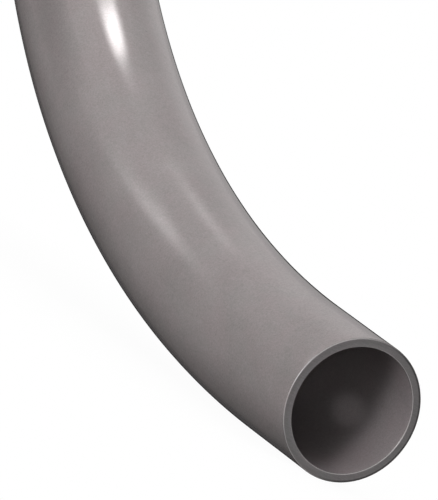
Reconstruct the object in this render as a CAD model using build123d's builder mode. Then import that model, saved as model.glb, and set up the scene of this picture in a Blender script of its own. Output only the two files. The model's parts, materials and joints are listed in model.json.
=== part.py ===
from build123d import *
import os

# Plain-end 90 degree sweep elbow of rigid grey PVC electrical conduit, 3 in trade size, Schedule 40, 36 in bend radius.
# It is one length of pipe, bent and then cut square at both ends, so the whole object is one solid.
#
# Frame, in millimetres: the origin is the centre of the face of mouth A. +X leaves mouth A along its axis, +Z is the
# direction in which the riser leaves mouth B, and the bend lies in the XZ plane. This is the attitude of a stub-up:
# the run arrives level at mouth A and the riser goes up at mouth B.

# Driving dimensions
OUTSIDE_D = 88.9        # 3.500 in, outside diameter of 3 in trade size pipe
WALL = 5.486            # 0.216 in, Schedule 40 wall
BEND_R = 914.4          # 36 in, radius of the bend at the pipe's centreline
STRAIGHT = 79.4         # 3-1/8 in, straight length left at each end for the coupling
EDGE_R = 0.55           # small round on the outer and the inner edge of each cut end

# The bend's angle in degrees. The plane at the end of the bend is placed for a quarter turn only.
BEND_ANGLE = 90.0

# Sizes that follow from them
OUTSIDE_R = OUTSIDE_D / 2
BORE_R = OUTSIDE_R - WALL
LEG = STRAIGHT + BEND_R  # from the centre of one mouth to the other leg's axis

# Planes of the pipe's cross-section. Each plane's normal points along the pipe, from mouth A towards mouth B.
mouth_a = Plane(origin=(0, 0, 0), x_dir=(0, 1, 0), z_dir=(-1, 0, 0))
bend_start = Plane(origin=(-STRAIGHT, 0, 0), x_dir=(0, 1, 0), z_dir=(-1, 0, 0))
bend_end = Plane(origin=(-LEG, 0, BEND_R), x_dir=(0, 1, 0), z_dir=(0, 0, 1))
bend_axis = Axis((-STRAIGHT, 0, BEND_R), (0, 1, 0))


def draw_pipe_ring():
    """Draw the pipe's cross-section in the sketch that is open where this is called."""
    Circle(OUTSIDE_R)
    Circle(BORE_R, mode=Mode.SUBTRACT)


with BuildPart() as elbow_body:
    # level straight end, from mouth A to the start of the bend
    with BuildSketch(mouth_a):
        draw_pipe_ring()
    extrude(amount=STRAIGHT)

    # the bend: the ring carried about the bend's axis
    with BuildSketch(bend_start):
        draw_pipe_ring()
    revolve(axis=bend_axis, revolution_arc=BEND_ANGLE)

    # upright straight end, from the end of the bend to mouth B
    with BuildSketch(bend_end):
        draw_pipe_ring()
    extrude(amount=STRAIGHT)

    # the only flat faces are the two cut ends; their edges are rounded inside and outside
    cut_ends = elbow_body.faces().filter_by(GeomType.PLANE)
    fillet(cut_ends.edges().filter_by(GeomType.CIRCLE), radius=EDGE_R)

elbow_body.part.label = "elbow_body"
elbow_body.part.color = Color(0.42, 0.41, 0.40)  # grey PVC

os.makedirs("parts", exist_ok=True)
export_step(elbow_body.part, "parts/elbow_body.step")
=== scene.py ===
"""Looks for a grey PVC conduit elbow: a bent pipe with two sawn ends, a pale floor, studio light and a camera.

Mouth A opens towards +X. The pipe runs from it towards -X, bends upwards in the XZ plane (y = 0) and
rises along +Z to mouth B, which opens upwards.
"""
import json
import math

import bpy
import numpy as np
from mathutils import Matrix, Vector

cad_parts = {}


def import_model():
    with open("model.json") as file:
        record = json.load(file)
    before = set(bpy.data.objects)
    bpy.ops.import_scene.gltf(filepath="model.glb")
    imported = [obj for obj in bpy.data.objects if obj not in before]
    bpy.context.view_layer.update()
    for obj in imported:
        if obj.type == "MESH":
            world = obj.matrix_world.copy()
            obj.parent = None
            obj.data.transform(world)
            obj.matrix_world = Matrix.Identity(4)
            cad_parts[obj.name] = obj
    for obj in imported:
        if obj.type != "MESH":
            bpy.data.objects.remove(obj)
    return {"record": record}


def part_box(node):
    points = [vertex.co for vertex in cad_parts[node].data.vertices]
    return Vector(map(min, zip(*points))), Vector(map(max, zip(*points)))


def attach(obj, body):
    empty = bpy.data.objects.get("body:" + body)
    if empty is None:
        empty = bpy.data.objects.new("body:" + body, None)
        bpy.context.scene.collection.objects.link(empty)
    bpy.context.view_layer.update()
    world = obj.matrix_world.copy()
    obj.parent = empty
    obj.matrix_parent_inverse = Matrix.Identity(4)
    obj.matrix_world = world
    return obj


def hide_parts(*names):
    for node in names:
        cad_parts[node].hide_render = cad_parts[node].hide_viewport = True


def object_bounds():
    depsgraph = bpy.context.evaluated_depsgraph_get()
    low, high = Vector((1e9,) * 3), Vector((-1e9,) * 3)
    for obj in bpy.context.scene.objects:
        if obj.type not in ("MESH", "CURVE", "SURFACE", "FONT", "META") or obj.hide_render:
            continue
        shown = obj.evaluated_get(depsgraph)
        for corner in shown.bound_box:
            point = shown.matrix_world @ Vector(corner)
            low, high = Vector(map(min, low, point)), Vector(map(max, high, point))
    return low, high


mounts = {mount["name"]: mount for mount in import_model()["record"]["mounts"]}
cad_lo, cad_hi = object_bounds()
scene = bpy.context.scene

# ---------------------------------------------------------------- driving sizes, metres
body_lo, body_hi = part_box("elbow_body")
mouth_a = Vector(mounts["mouth_a_bore"]["pos_m"])
mouth_b = Vector(mounts["mouth_b_bore"]["pos_m"])
OUT_R = (body_hi.y - body_lo.y) / 2
BORE_R = mounts["mouth_a_bore"]["dims"]["r_mm"] / 1000
WALL = OUT_R - BORE_R
STRAIGHT = 0.0794                               # straight pipe at each end of the bend
BEND_R = mouth_b.z - mouth_a.z - STRAIGHT       # radius of the centre line
ARC = BEND_R * math.pi / 2
LENGTH = 2 * STRAIGHT + ARC                     # along the centre line

ROUNDING = 0.00055                              # radius of the broken edges at the mouths
ROUNDING_RINGS = 9
FACE_POINTS = 6                                 # across a sawn face, both ends counted
AROUND = 192                                    # points in each ring

# unevenness left by bending: height, the length over which it fades in from each end, and
# the waves that make it up
UNEVEN_HEIGHT, UNEVEN_FADE = 0.00003, 0.03
UNEVEN_WAVES = dict(seed=11, terms=24, low=2.0, high=16.0)
PHASE_RANGE = 6.283                             # about one full turn

# zones of the surface, which are also its material slots
SKIN, CUT, BORE, EDGE = range(4)


# ---------------------------------------------------------------- the pipe
def path(along):
    """Centre, and normal towards the outside of the bend, at distances along the pipe from mouth A."""
    angle = np.clip((along - STRAIGHT) / BEND_R, 0, math.pi / 2)
    before = np.minimum(along, STRAIGHT)
    after = np.maximum(along - STRAIGHT - ARC, 0)
    x = mouth_a.x - before - BEND_R * np.sin(angle)
    z = mouth_a.z + BEND_R * (1 - np.cos(angle)) + after
    centre = np.stack([x, np.zeros_like(x), z], -1)
    outside = np.stack([-np.sin(angle), np.zeros_like(angle), -np.cos(angle)], -1)
    return centre, outside


def waves(along, around, seed, terms, low, high):
    """Smooth, repeatable unevenness; low and high are in waves per metre along the pipe."""
    rng = np.random.default_rng(seed)
    total = np.zeros(np.broadcast(along, around).shape)
    for _ in range(terms):
        per_metre = rng.uniform(low, high)
        per_turn = rng.integers(0, 5)
        size = rng.normal()
        lengthwise = np.cos(2 * math.pi * per_metre * along + rng.uniform(0, PHASE_RANGE))
        total += size * lengthwise * np.cos(per_turn * around + rng.uniform(0, PHASE_RANGE))
    return total / math.sqrt(terms)


def stations(straight_points, bend_points):
    """Distances along the pipe, without the two mouths themselves."""
    straight = np.linspace(0, STRAIGHT, straight_points)
    bend = np.linspace(0, ARC, bend_points)
    return np.concatenate([straight[1:], STRAIGHT + bend[1:], STRAIGHT + ARC + straight[1:-1]])


def mouth_profile():
    """One mouth from bore to skin, as (depth below the sawn face, radius, zone)."""
    turn = np.linspace(0, math.pi / 2, ROUNDING_RINGS)
    r = ROUNDING
    face = np.linspace(BORE_R + r, OUT_R - r, FACE_POINTS)[1:-1]
    bore_edge = [(r - r * math.cos(t), BORE_R + r - r * math.sin(t), EDGE) for t in turn[::-1]]
    skin_edge = [(r - r * math.cos(t), OUT_R - r + r * math.sin(t), EDGE) for t in turn]
    return bore_edge + [(0.0, radius, CUT) for radius in face] + skin_edge


def build_elbow():
    """One closed wall: up mouth A, along the skin, down mouth B and back through the bore."""
    profile = mouth_profile()
    rings = list(profile)
    rings += [(s, OUT_R, SKIN) for s in stations(straight_points=15, bend_points=203)]
    rings += [(LENGTH - depth, radius, zone) for depth, radius, zone in profile[::-1]]
    rings += [(s, BORE_R, BORE) for s in stations(straight_points=11, bend_points=141)[::-1]]
    along = np.array([ring[0] for ring in rings])
    radius = np.array([ring[1] for ring in rings])
    zone = np.array([ring[2] for ring in rings])

    # theta is 0 on the outside of the bend and a quarter turn on the +Y side
    theta = np.linspace(0, 2 * math.pi, AROUND, endpoint=False)
    centre, outside = path(along)
    across = np.array([0.0, 1.0, 0.0])
    fade = np.clip(np.minimum(along, LENGTH - along) / UNEVEN_FADE, 0, 1)[:, None]
    uneven = UNEVEN_HEIGHT * fade * waves(along[:, None], theta[None], **UNEVEN_WAVES)
    radii = radius[:, None] + uneven * (zone != CUT)[:, None]
    spokes = (outside[:, None, :] * np.cos(theta)[None, :, None]
              + across[None, None, :] * np.sin(theta)[None, :, None])
    points = centre[:, None, :] + spokes * radii[..., None]

    i = np.arange(len(rings))[:, None]
    j = np.arange(AROUND)[None]
    here, following = i * AROUND, ((i + 1) % len(rings)) * AROUND
    j_next = (j + 1) % AROUND
    corners = [here + j, here + j_next, following + j_next, following + j]
    faces = np.stack(corners, -1).reshape(-1, 4)
    # a band between two rings takes its first ring's zone, but the last edge ring yields to the next
    band = np.where(zone == EDGE, np.roll(zone, -1), zone)

    mesh = bpy.data.meshes.new("elbow_skin")
    mesh.from_pydata(points.reshape(-1, 3).tolist(), [], faces.tolist())
    mesh.update()
    mesh.flip_normals()  # the faces are wound towards the inside of the wall
    # the pipe laid out straight: distance along it, then the cross-section's two coordinates
    unbent = np.stack([np.broadcast_to(along[:, None], radii.shape),
                       radii * np.cos(theta), radii * np.sin(theta)], -1)
    attribute = mesh.attributes.new("pipe_co", "FLOAT_VECTOR", "POINT")
    attribute.data.foreach_set("vector", unbent.reshape(-1).astype(np.float32))
    mesh.polygons.foreach_set("material_index", np.repeat(band, AROUND).astype(np.int32))
    mesh.polygons.foreach_set("use_smooth", np.ones(len(mesh.polygons), bool))
    mesh.update()
    elbow = bpy.data.objects.new("elbow", mesh)
    scene.collection.objects.link(elbow)
    return elbow


# ---------------------------------------------------------------- node helper
class Nodes:
    """Empties the node tree of a material or world and gives short names for building it again."""

    def __init__(self, owner):
        owner.use_nodes = True
        self.tree = owner.node_tree
        self.tree.nodes.clear()

    def new(self, kind, **values):
        """Add a node; each value goes to the input of that name, or else to the property."""
        node = self.tree.nodes.new(kind)
        for key, value in values.items():
            if key in node.inputs:
                node.inputs[key].default_value = value
            else:
                setattr(node, key, value)
        return node

    def link(self, output, into):
        self.tree.links.new(output, into)

    def feed(self, into, value):
        """Link a socket, or set a plain value."""
        if isinstance(value, bpy.types.NodeSocket):
            self.link(value, into)
        else:
            into.default_value = value

    def math(self, operation, *values):
        node = self.new("ShaderNodeMath", operation=operation)
        for into, value in zip(node.inputs, values):
            self.feed(into, value)
        return node.outputs[0]

    def add(self, a, b):
        return self.math("ADD", a, b)

    def sub(self, a, b):
        return self.math("SUBTRACT", a, b)

    def mul(self, a, b):
        return self.math("MULTIPLY", a, b)

    def centred(self, value, amount):
        """A 0 to 1 value swung about zero."""
        return self.mul(self.sub(value, 0.5), amount)

    def dim(self, value, mask, amount):
        """Darken a value by amount where the mask is 1."""
        return self.mul(value, self.sub(1.0, self.mul(mask, amount)))

    def scaled(self, vector, x, y, z):
        node = self.new("ShaderNodeVectorMath", operation="MULTIPLY")
        self.link(vector, node.inputs[0])
        node.inputs[1].default_value = (x, y, z)
        return node.outputs[0]

    def dot(self, vector, direction):
        node = self.new("ShaderNodeVectorMath", operation="DOT_PRODUCT")
        self.link(vector, node.inputs[0])
        node.inputs[1].default_value = direction
        return node.outputs["Value"]

    def split(self, vector):
        node = self.new("ShaderNodeSeparateXYZ")
        self.link(vector, node.inputs[0])
        return node.outputs

    def noise(self, vector, scale, detail, rough=0.5, distortion=0.0):
        node = self.new("ShaderNodeTexNoise", Scale=scale, Detail=detail, Roughness=rough,
                        Distortion=distortion)
        self.link(vector, node.inputs["Vector"])
        return node.outputs["Fac"]

    def remap(self, value, span, to=(0.0, 1.0), kind="LINEAR"):
        node = self.new("ShaderNodeMapRange", interpolation_type=kind)
        self.link(value, node.inputs["Value"])
        for key, number in zip(("From Min", "From Max", "To Min", "To Max"), (*span, *to)):
            node.inputs[key].default_value = number
        return node.outputs[0]

    def mix_colour(self, factor, a, b):
        node = self.new("ShaderNodeMix", data_type="RGBA")
        for index, value in ((0, factor), (6, a), (7, b)):
            self.feed(node.inputs[index], value)
        return node.outputs[2]

    def ray_is(self, kind):
        return self.new("ShaderNodeLightPath").outputs[f"Is {kind} Ray"]


# ---------------------------------------------------------------- PVC
# colour: linear RGB; mottling: strength of the brightness pattern; rough: roughness range;
# peel and fine: heights in metres of the coarse and fine grain
PVC = {
    SKIN: dict(name="grey_pvc_skin", colour=(0.291, 0.2615, 0.2605), mottling=0.70,
               rough=(0.080, 0.125), peel=0.000006, fine=0.0000062),
    CUT: dict(name="grey_pvc_cut", colour=(0.217, 0.205, 0.206), mottling=0.5,
              rough=(0.50, 0.64), peel=0.000004, fine=0.000004),
    BORE: dict(name="grey_pvc_bore", colour=(0.304, 0.268, 0.274), mottling=0.6,
               rough=(0.28, 0.38), peel=0.000010, fine=0.000003),
    # the broken edges are painted lighter than the skin and the sawn face: a painted highlight along the rims
    EDGE: dict(name="grey_pvc_edge", colour=(0.47, 0.44, 0.44), mottling=0.5,
               rough=(0.16, 0.26), peel=0.000002, fine=0.000003),
}
WARM_TINT, COLD_TINT = (1.012, 0.994, 0.998), (0.988, 1.004, 0.998)

SPECK_DARKENING, SPECK_HEIGHT = 0.16, -0.00002
SCUFF_HEIGHT = 0.0000075
SAW_HEIGHT = 0.000012

# a broad band on the -Y side of the skin, painted darker: angle round the pipe of its middle, half its width,
# where it fades in and out along the pipe in metres, and how much darker it is
DARK_BAND_ANGLE, DARK_BAND_HALF_WIDTH = math.radians(-100.5), math.radians(17)
DARK_BAND_IN, DARK_BAND_OUT, DARK_BAND_DARKENING = (0.375, 0.455), (0.50, 0.64), 0.24

# sawn ends, painted shade and highlight: the radii of the outer rim painted darker, the share of the radius
# towards +Y over which that shaded side begins, and how far the painted highlight reaches out from the bore on
# the other side
RIM_SHADE_SPAN = (0.962 * OUT_R, 0.976 * OUT_R)
RIM_SHADE_DARKENING = 0.65
SHADED_SIDE_SPAN = (-0.10, 0.35)
BORE_HIGHLIGHT_SPAN = (BORE_R, BORE_R + 0.55 * WALL)
BORE_HIGHLIGHT_LIGHTENING = 0.22

# painted shade towards the outline, where the colour darkens and the shine fades as the surface turns edge-on:
# the facing range and the values across it
OUTLINE = {
    SKIN: dict(dark=dict(span=(0.78, 0.93), to=(1.0, 0.07)),
               shine=dict(span=(0.76, 0.92), to=(0.5, 0.0))),
    EDGE: dict(dark=dict(span=(0.2, 0.45), to=(1.0, 0.05)),
               shine=dict(span=(0.2, 0.45), to=(0.9, 0.0))),
}
OUTLINE[CUT] = OUTLINE[SKIN]
BORE_BOUNCE = 0.60  # share of the bore's brightness seen by diffuse rays


def compound_brightness(n, co, amount):
    """Drift over centimetres, mottle over millimetres and fine grain, about 1."""
    cloud = n.noise(n.scaled(co, 0.6, 1, 1), scale=24.0, detail=3.0, distortion=0.4)
    mottle = n.noise(co, scale=210.0, detail=3.0, rough=0.7, distortion=0.3)
    grain = n.noise(co, scale=900.0, detail=2.0, rough=0.7)
    small = n.add(n.centred(mottle, amount=0.24), n.centred(grain, amount=0.85))
    shade = n.add(n.centred(cloud, amount=0.50), small)
    return n.add(n.mul(shade, amount), 1.0)


def compound_colour(n, co, colour):
    """The grey, leaning to mauve in places and to a colder green-grey in others."""
    lean = n.noise(n.scaled(co, 0.7, 1, 1), scale=46.0, detail=3.0, rough=0.55, distortion=0.2)
    warm, cold = ((*(c * t for c, t in zip(colour, tint)), 1) for tint in (WARM_TINT, COLD_TINT))
    return n.mix_colour(n.remap(lean, span=(0.38, 0.62)), cold, warm)


def specks(n, co):
    """Mask of sparse handling marks."""
    cells = n.new("ShaderNodeTexVoronoi", Scale=95.0, Randomness=1.0)
    n.link(co, cells.inputs["Vector"])
    dots = n.remap(cells.outputs["Distance"], span=(0.045, 0.085), to=(1.0, 0.0))
    return n.mul(dots, n.remap(n.noise(co, scale=31.0, detail=1.0), span=(0.60, 0.63)))


def darker_band(n, co):
    """Mask of a broad band along the skin where the colour is darker."""
    along, y, z = n.split(co)
    towards = n.add(n.mul(y, math.cos(DARK_BAND_ANGLE) / OUT_R), n.mul(z, math.sin(DARK_BAND_ANGLE) / OUT_R))
    lengthwise = n.mul(n.remap(along, span=DARK_BAND_IN), n.remap(along, span=DARK_BAND_OUT, to=(1.0, 0.0)))
    return n.mul(n.remap(towards, span=(math.cos(DARK_BAND_HALF_WIDTH), 1.0)), lengthwise)


def scuffs(n, co):
    """Thin grooves round the pipe, in patches, from 0 down to -1."""
    lines = n.noise(n.scaled(co, 1.0, 0.05, 0.05), scale=620.0, detail=1.0)
    patches = n.remap(n.noise(co, scale=26.0, detail=2.0), span=(0.56, 0.66))
    return n.mul(n.remap(lines, span=(0.62, 0.70), to=(0.0, -1.0)), patches)


def rim_shade_and_highlight(n, co, gain):
    """Painted shade on the outer rim on the +Y side, and a painted highlight by the bore on the other side."""
    _, y, z = n.split(co)
    from_axis = n.math("SQRT", n.add(n.math("POWER", y, 2.0), n.math("POWER", z, 2.0)))
    # painted shade: the outer rim darker on the +Y side
    rim_shade = n.remap(from_axis, span=RIM_SHADE_SPAN, to=(0.0, RIM_SHADE_DARKENING))
    shaded_side = n.remap(n.math("DIVIDE", z, OUT_R), span=SHADED_SIDE_SPAN)
    gain = n.dim(gain, rim_shade, shaded_side)
    # painted highlight: lighter towards the bore on the other side
    bore_highlight = n.remap(from_axis, span=BORE_HIGHLIGHT_SPAN, to=(BORE_HIGHLIGHT_LIGHTENING, 0.0))
    return n.mul(gain, n.add(1.0, n.mul(bore_highlight, n.sub(1.0, shaded_side))))


def pvc(zone):
    """The grey PVC compound as it looks in one zone."""
    look = PVC[zone]
    material = bpy.data.materials.new(look["name"])
    n = Nodes(material)
    output = n.new("ShaderNodeOutputMaterial")
    shader = n.new("ShaderNodeBsdfPrincipled", IOR=1.5)
    n.link(shader.outputs[0], output.inputs[0])
    co = n.new("ShaderNodeAttribute", attribute_name="pipe_co").outputs["Vector"]

    gain = compound_brightness(n, co, look["mottling"])
    colour = compound_colour(n, co, look["colour"])
    height = n.add(n.mul(n.noise(co, scale=330.0, detail=2.0), look["peel"]),
                   n.mul(n.noise(co, scale=1100.0, detail=2.0), look["fine"]))
    if zone == SKIN:
        speck = specks(n, co)
        gain = n.dim(gain, speck, SPECK_DARKENING)
        # the colour is darker along a broad band on the -Y side
        gain = n.dim(gain, darker_band(n, co), DARK_BAND_DARKENING)
        marks = n.add(n.mul(scuffs(n, co), SCUFF_HEIGHT), n.mul(speck, SPECK_HEIGHT))
        height = n.add(height, marks)
    if zone == CUT:
        # the blade's fine straight lines
        saw = n.noise(n.scaled(co, 0.02, 1.0, 0.06), scale=1900.0, detail=2.0, rough=0.6)
        gain = n.mul(gain, n.remap(saw, span=(0.3, 0.7), to=(0.90, 1.10)))
        height = n.add(height, n.mul(saw, SAW_HEIGHT))
    # painted shade and painted highlight on the sawn faces and their broken edges
    if zone in (CUT, EDGE):
        gain = rim_shade_and_highlight(n, co, gain)

    if zone == BORE:
        # matt, and its walls pass a little less light on to each other
        turned = n.remap(n.ray_is("Diffuse"), span=(0.0, 1.0), to=(1.0, BORE_BOUNCE))
        shine = 0.0
    else:
        facing = n.new("ShaderNodeLayerWeight", Blend=0.5).outputs["Facing"]
        # painted shade: the colour darkens towards the outline
        turned = n.remap(facing, **OUTLINE[zone]["dark"])
        shine = n.remap(facing, **OUTLINE[zone]["shine"])
    n.feed(shader.inputs["Specular IOR Level"], shine)
    lit_colour = n.new("ShaderNodeVectorMath", operation="SCALE")
    n.link(colour, lit_colour.inputs[0])
    n.link(n.mul(gain, turned), lit_colour.inputs["Scale"])
    n.link(lit_colour.outputs[0], shader.inputs["Base Color"])

    # satin, duller where rubbed
    rub = n.add(n.mul(n.noise(co, scale=70.0, detail=4.0, rough=0.6), 0.7),
                n.mul(n.noise(co, scale=520.0, detail=2.0, rough=0.6), 0.3))
    n.link(n.remap(rub, span=(0.36, 0.64), to=look["rough"]), shader.inputs["Roughness"])

    bump = n.new("ShaderNodeBump", Strength=1.0, Distance=1.0)
    n.link(height, bump.inputs["Height"])
    n.link(bump.outputs[0], shader.inputs["Normal"])
    return material


elbow = build_elbow()
for zone in (SKIN, CUT, BORE, EDGE):
    elbow.data.materials.append(pvc(zone))
# the riser's mirror image would draw a dark line down the skin below it
elbow.visible_glossy = False
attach(elbow, "root")
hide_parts("elbow_body")

# ---------------------------------------------------------------- floor
FLOOR_Z = cad_lo.z - 0.0002
FLOOR_HALF = 400.0
CONTACT_REACH = 0.16        # how far the contact shadow spreads
CONTACT_SHADE = 0.965       # the floor's brightness where it is deepest


def build_floor():
    """A glowing white plane with only a breath of contact shadow."""
    mesh = bpy.data.meshes.new("floor")
    signs = ((-1, -1), (1, -1), (1, 1), (-1, 1))
    corners = [(x * FLOOR_HALF, y * FLOOR_HALF, FLOOR_Z) for x, y in signs]
    mesh.from_pydata(corners, [], [(0, 1, 2, 3)])
    floor = bpy.data.objects.new("floor", mesh)
    scene.collection.objects.link(floor)

    material = bpy.data.materials.new("pale_floor")
    n = Nodes(material)
    output = n.new("ShaderNodeOutputMaterial")
    glow = n.new("ShaderNodeEmission", Strength=1.0)
    occlusion = n.new("ShaderNodeAmbientOcclusion", Distance=CONTACT_REACH, samples=12)
    tone = n.remap(occlusion.outputs["AO"], span=(0.0, 1.0), to=(CONTACT_SHADE, 1.0))
    grey = n.new("ShaderNodeCombineColor")
    for channel in range(3):
        n.link(tone, grey.inputs[channel])
    n.link(grey.outputs[0], glow.inputs["Color"])
    n.link(glow.outputs[0], output.inputs[0])
    mesh.materials.append(material)
    floor.visible_diffuse = floor.visible_glossy = floor.visible_shadow = False
    return floor


build_floor()

# ---------------------------------------------------------------- light: a dim tent with soft boxes
# Azimuth (from +X towards -Y), height, half width, half height and tilt in degrees, then strength
# and edge crispness. Names are as seen by the camera, which stands towards +X and -Y.
SOFTBOXES = [
    ("key", 63.8, 5.6, 8.0, 9.3, 0, 16.8, 1),
    ("key_side", 88.0, 6.0, 14.0, 20.0, 0, 2.0, 1),
    ("front", 19.4, 1.1, 14.4, 12.9, 0, 3.92, 1),
    ("near", 90, 45, 25, 20, 0, 0.38, 1),
    ("strip", 161.2, 59.6, 8.1, 2.5, 32, 17.0, 1.6),
    ("spot", 146.9, 20.0, 1.5, 7.5, -16, 3.1, 1),
    ("tail", 142.5, 20.5, 2.2, 7.5, -16, 0.35, 1),
    ("rail", 176.4, 42.3, 5.2, 3.8, 0, 1.1, 1),
    ("upper", 172, 43, 22, 16, 0, 0.24, 1),
    ("side", 147, 2, 6, 12, 0, 0.08, 1),
    ("low", 150.4, -21.4, 16.0, 13.6, 0, 0.20, 1),
    ("haze", 142, 31, 25, 25, 0, 0.37, 1),
    ("sky", 180, 75, 20, 14, 0, 0.72, 1),
    ("overhead", 90, 89, 32.3, 39.5, 0, 0.92, 1),
    ("back_left", -170, 24.3, 12.9, 14.7, 0, 0.44, 1),
    ("behind", -139, 30, 22, 17, 0, 0.38, 1),
    ("backlow", -150, 5, 25, 12, 0, 0.28, 1),
    ("back", -120, 20, 28, 35, 0, 0.43, 1),
    ("rear", -101, 2, 11, 22, 0, 6.4, 1),
]
TENT, UNDER = 0.062, 0.042              # the tent's strength above and well below the horizon
HORIZON_SPAN = (-0.30, 0.06)            # upward component over which one turns into the other
REAR_MIRRORED = 0.1                     # share of the rear box left in reflections
WHITE, WARM_SHINE = (1, 1, 1, 1), (1.03, 0.992, 0.992, 1)


def softbox(n, look, azimuth, height, half_width, half_height, tilt, strength, edge):
    """A soft-edged patch of sky."""
    az, el, ti = math.radians(-azimuth), math.radians(height), math.radians(tilt)
    middle = Vector((math.cos(el) * math.cos(az), math.cos(el) * math.sin(az), math.sin(el)))
    level = Vector((math.sin(az), -math.cos(az), 0.0))
    rising = Vector((-math.sin(el) * math.cos(az), -math.sin(el) * math.sin(az), math.cos(el)))
    wide = math.cos(ti) * level + math.sin(ti) * rising
    high = -math.sin(ti) * level + math.cos(ti) * rising
    falloffs = []
    for axis, half in ((wide, half_width), (high, half_height)):
        offset = n.math("ABSOLUTE", n.dot(look, axis / math.sin(math.radians(half))))
        falloffs.append(n.math("POWER", offset, 2.0 * edge))
    lit = n.math("EXPONENT", n.mul(n.add(*falloffs), -1.0))
    # keeps the opposite side of the sky dark
    lit = n.mul(lit, n.remap(n.dot(look, middle), span=(0.0, 0.3)))
    value = n.new("ShaderNodeValue", label="strength")
    value.outputs[0].default_value = strength
    return n.mul(lit, value.outputs[0])


def build_world():
    """The tent and soft boxes light the scene; the camera itself sees plain white."""
    world = bpy.data.worlds.new("studio")
    scene.world = world
    n = Nodes(world)
    look = n.new("ShaderNodeTexCoord").outputs["Generated"]
    total = n.remap(n.dot(look, (0, 0, 1)), span=HORIZON_SPAN, to=(UNDER, TENT),
                    kind="SMOOTHERSTEP")
    mirrored = n.ray_is("Glossy")
    for name, *values in SOFTBOXES:
        box = softbox(n, look, *values)
        if name == "rear":  # fills the far side, with next to no mirror image of its own
            box = n.mul(box, n.remap(mirrored, span=(0.0, 1.0), to=(1.0, REAR_MIRRORED)))
        total = n.add(total, box)
    light = n.new("ShaderNodeBackground")
    n.link(total, light.inputs["Strength"])
    n.link(n.mix_colour(n.ray_is("Glossy"), WHITE, WARM_SHINE), light.inputs["Color"])
    paper = n.new("ShaderNodeBackground", Strength=1.0, Color=WHITE)
    choice = n.new("ShaderNodeMixShader")
    n.link(n.ray_is("Camera"), choice.inputs[0])
    n.link(light.outputs[0], choice.inputs[1])
    n.link(paper.outputs[0], choice.inputs[2])
    n.link(choice.outputs[0], n.new("ShaderNodeOutputWorld").inputs[0])


build_world()

# ---------------------------------------------------------------- camera
# Camera coordinates are x right, y down, z forward; a slope is x or y per unit of z.
DISTANCE = 63.29279 * 2 * OUT_R                 # depth of mouth A's centre, in outer diameters
MOUTH_SLOPE = (0.0137792495, 0.0167237424)      # towards the centre of mouth A
GLINT_SLOPE = (0.0133839284, 0.0166491963)      # towards the glint in the bore
# world +X as the camera sees it: tilt from the lens axis and bearing about it; then the turn
# of world +Z about that direction; radians
X_TILT, X_BEARING, Z_TURN = 0.544278, 0.633736, 1.161016

x_seen = Vector((math.sin(X_TILT) * math.cos(X_BEARING),
                 math.sin(X_TILT) * math.sin(X_BEARING),
                 -math.cos(X_TILT)))
level_seen = x_seen.cross(Vector((0, 1, 0))).normalized()
z_seen = math.cos(Z_TURN) * level_seen + math.sin(Z_TURN) * x_seen.cross(level_seen)
to_world = Matrix((x_seen, -x_seen.cross(z_seen), z_seen))
mouth_seen = Vector((MOUTH_SLOPE[0] * DISTANCE, MOUTH_SLOPE[1] * DISTANCE, DISTANCE))
position = mouth_a - to_world @ mouth_seen

# a camera object's own axes are right, up and back
own_axes = [to_world @ Vector(axis) for axis in ((1, 0, 0), (0, -1, 0), (0, 0, -1))]
pose = Matrix(own_axes).transposed().to_4x4()
pose.translation = position

camera_data = bpy.data.cameras.new("camera")
camera = bpy.data.objects.new("camera", camera_data)
scene.collection.objects.link(camera)
camera.matrix_world = pose
camera_data.sensor_width = 36
camera_data.lens = 695.11896
camera_data.shift_x = -0.0005716
camera_data.shift_y = -0.001477
camera_data.clip_start, camera_data.clip_end = 0.1, 1000
scene.camera = camera
scene.view_settings.view_transform = "Standard"

# ---------------------------------------------------------------- glint
# a faint pencil of light from the camera's side, through mouth A and on to the bore's far wall
GLINT_AWAY = 1.5            # from lamp to wall
GLINT_R = 0.0050            # radius of the cone at the wall
SEARCH_SHORT = 0.2          # the search for the wall starts this far short of DISTANCE

ray = (to_world @ Vector((*GLINT_SLOPE, 1.0))).normalized()
start = position + ray * (DISTANCE - SEARCH_SHORT)
# a t^2 + 2 b t + c = 0 where the ray crosses the bore's cylinder; the larger t is the far wall
start_z = start.z - mouth_a.z
a = ray.y ** 2 + ray.z ** 2
b = start.y * ray.y + start_z * ray.z
c = start.y ** 2 + start_z ** 2 - BORE_R ** 2
on_wall = start + ray * ((-b + math.sqrt(b * b - a * c)) / a)

glint_data = bpy.data.lights.new("glint", "SPOT")
glint_data.energy = 14.0
glint_data.spot_size = 2 * math.atan(GLINT_R / GLINT_AWAY)
glint_data.spot_blend = 1.0
glint_data.shadow_soft_size = 0.002
glint = bpy.data.objects.new("glint", glint_data)
scene.collection.objects.link(glint)
glint.location = on_wall - ray * GLINT_AWAY
glint.rotation_mode = "QUATERNION"
glint.rotation_quaternion = ray.to_track_quat("-Z", "Y")
